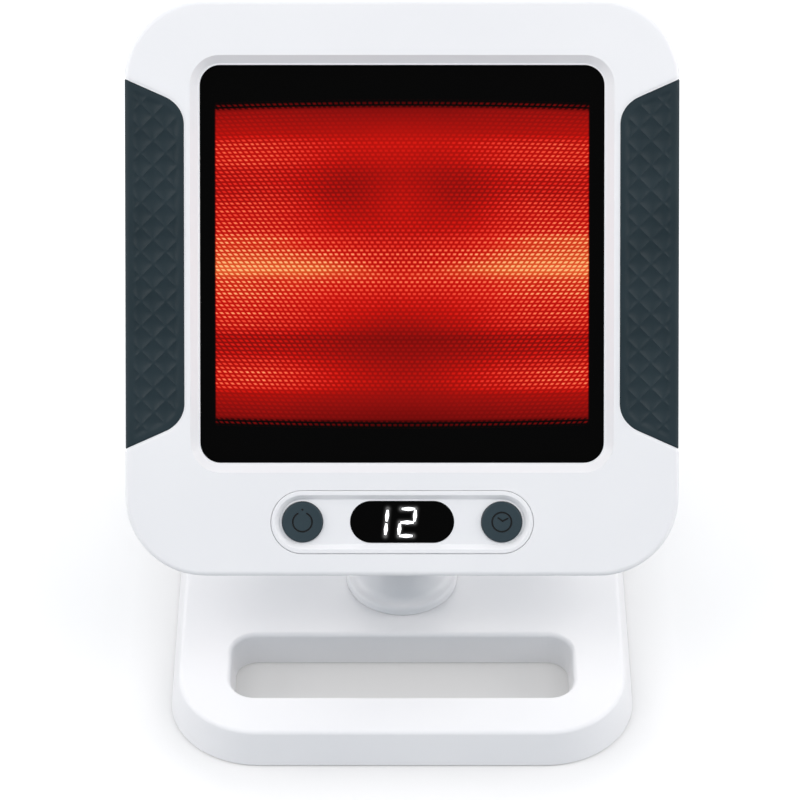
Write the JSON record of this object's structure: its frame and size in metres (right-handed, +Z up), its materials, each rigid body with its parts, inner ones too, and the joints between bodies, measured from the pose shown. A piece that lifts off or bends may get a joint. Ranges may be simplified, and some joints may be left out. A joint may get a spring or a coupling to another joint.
{
  "type": "infrared heat lamp",
  "caption": "Tabletop infrared heat lamp: square glass-fronted head with side grips and a push-button panel, tilting on a swivelling neck over a flat base with a hand slot.",
  "frame": {"origin": "on the floor under the middle of the whole lamp's box, the head leaning back", "axes": "+Z up, the face looks towards -Y and up, +X to the right as seen from the front"},
  "size_m": [0.25, 0.225, 0.295],
  "materials": {
    "white_plastic": "satin white moulding",
    "grip_rubber": "dark slate soft-touch, quilted",
    "window_glass": "dark red ceramic glass, polished",
    "gasket_silicone": "black silicone",
    "sheet_steel": "zinc-plated sheet",
    "screw_steel": "zinc-plated",
    "reflector_aluminium": "bright, dimpled",
    "quartz": "clear quartz",
    "coil_wire": "glowing wire",
    "ceramic_white": "unglazed",
    "display_black": "polished black",
    "button_slate": "satin dark slate",
    "board_green": "lacquered laminate",
    "led_block": "matt black with white segments",
    "switch_black": "moulded",
    "fan_black": "moulded",
    "gland_plastic": "moulded",
    "relay_blue": "moulded",
    "capacitor_yellow": "moulded",
    "transformer_core": "lacquered laminations",
    "terminal_grey": "moulded",
    "ballast_steel": "raw plate",
    "foot_rubber": "matt",
    "cast_alloy": "die-cast",
    "washer_nylon": "acetal"
  },
  "bodies": {
    "base": {"base_shell": "white_plastic", "base_plate": "white_plastic", "base_screws": "screw_steel", "ballast_plate": "ballast_steel", "ballast_screws": "screw_steel", "rubber_feet": "foot_rubber", "swivel_washer": "washer_nylon", "swivel_retainer": "sheet_steel", "ring_screws": "screw_steel"},
    "neck": {"neck_shell": "white_plastic", "neck_core": "cast_alloy", "neck_screws": "screw_steel"},
    "head": {"front_frame": "white_plastic", "rear_shell": "white_plastic", "left_grip": "grip_rubber", "right_grip": "grip_rubber", "glass_gasket": "gasket_silicone", "glass_panel": "window_glass", "glass_retainer": "sheet_steel", "retainer_screws": "screw_steel", "control_panel": "white_plastic", "display_window": "display_black", "control_board": "board_green", "board_screws": "screw_steel", "led_display": "led_block", "tact_switches": "switch_black", "reflector": "reflector_aluminium", "heat_shield": "sheet_steel", "reflector_screws": "screw_steel", "heater_tube": "quartz", "heating_coil": "coil_wire", "tube_holders": "ceramic_white", "thermal_cutout": "sheet_steel", "fan_frame": "fan_black", "fan_screws": "screw_steel", "case_screws": "screw_steel", "cord_gland": "gland_plastic", "gland_nut": "gland_plastic", "mains_board": "board_green", "mains_screws": "screw_steel", "relay": "relay_blue", "mains_capacitor": "capacitor_yellow", "transformer": "transformer_core", "terminal_block": "terminal_grey", "hinge_bracket": "sheet_steel", "bracket_screws": "screw_steel", "tilt_axle": "screw_steel", "tilt_nut": "screw_steel", "hinge_caps": "white_plastic", "friction_washers": "washer_nylon"},
    "power_button": {"power_button": "button_slate"},
    "timer_button": {"timer_button": "button_slate"},
    "fan_rotor": {"fan_rotor": "fan_black"}
  },
  "joints": [
    {"name": "neck_swivel", "type": "hinge", "parent": "base", "child": "neck", "pos_m": [0, -0.00409, 0.02], "axis": [0, 0, 1], "range_deg": [-45, 45]},
    {"name": "head_tilt", "type": "hinge", "parent": "neck", "child": "head", "pos_m": [0, -0.00409, 0.0783], "axis": [1, 0, 0], "range_deg": [-7, 43]},
    {"name": "power_button_press", "type": "slide", "parent": "head", "child": "power_button", "axis": [0, 0.788, -0.6157], "range_m": [0, 0.0008], "stiffness_N_per_m": 1500, "springref_m": -0.0002},
    {"name": "timer_button_press", "type": "slide", "parent": "head", "child": "timer_button", "axis": [0, 0.788, -0.6157], "range_m": [0, 0.0008], "stiffness_N_per_m": 1500, "springref_m": -0.0002},
    {"name": "fan_spin", "type": "hinge", "parent": "head", "child": "fan_rotor", "pos_m": [0, 0.05072, 0.16632], "axis": [0, 0.788, -0.6157], "continuous": true}
  ]
}
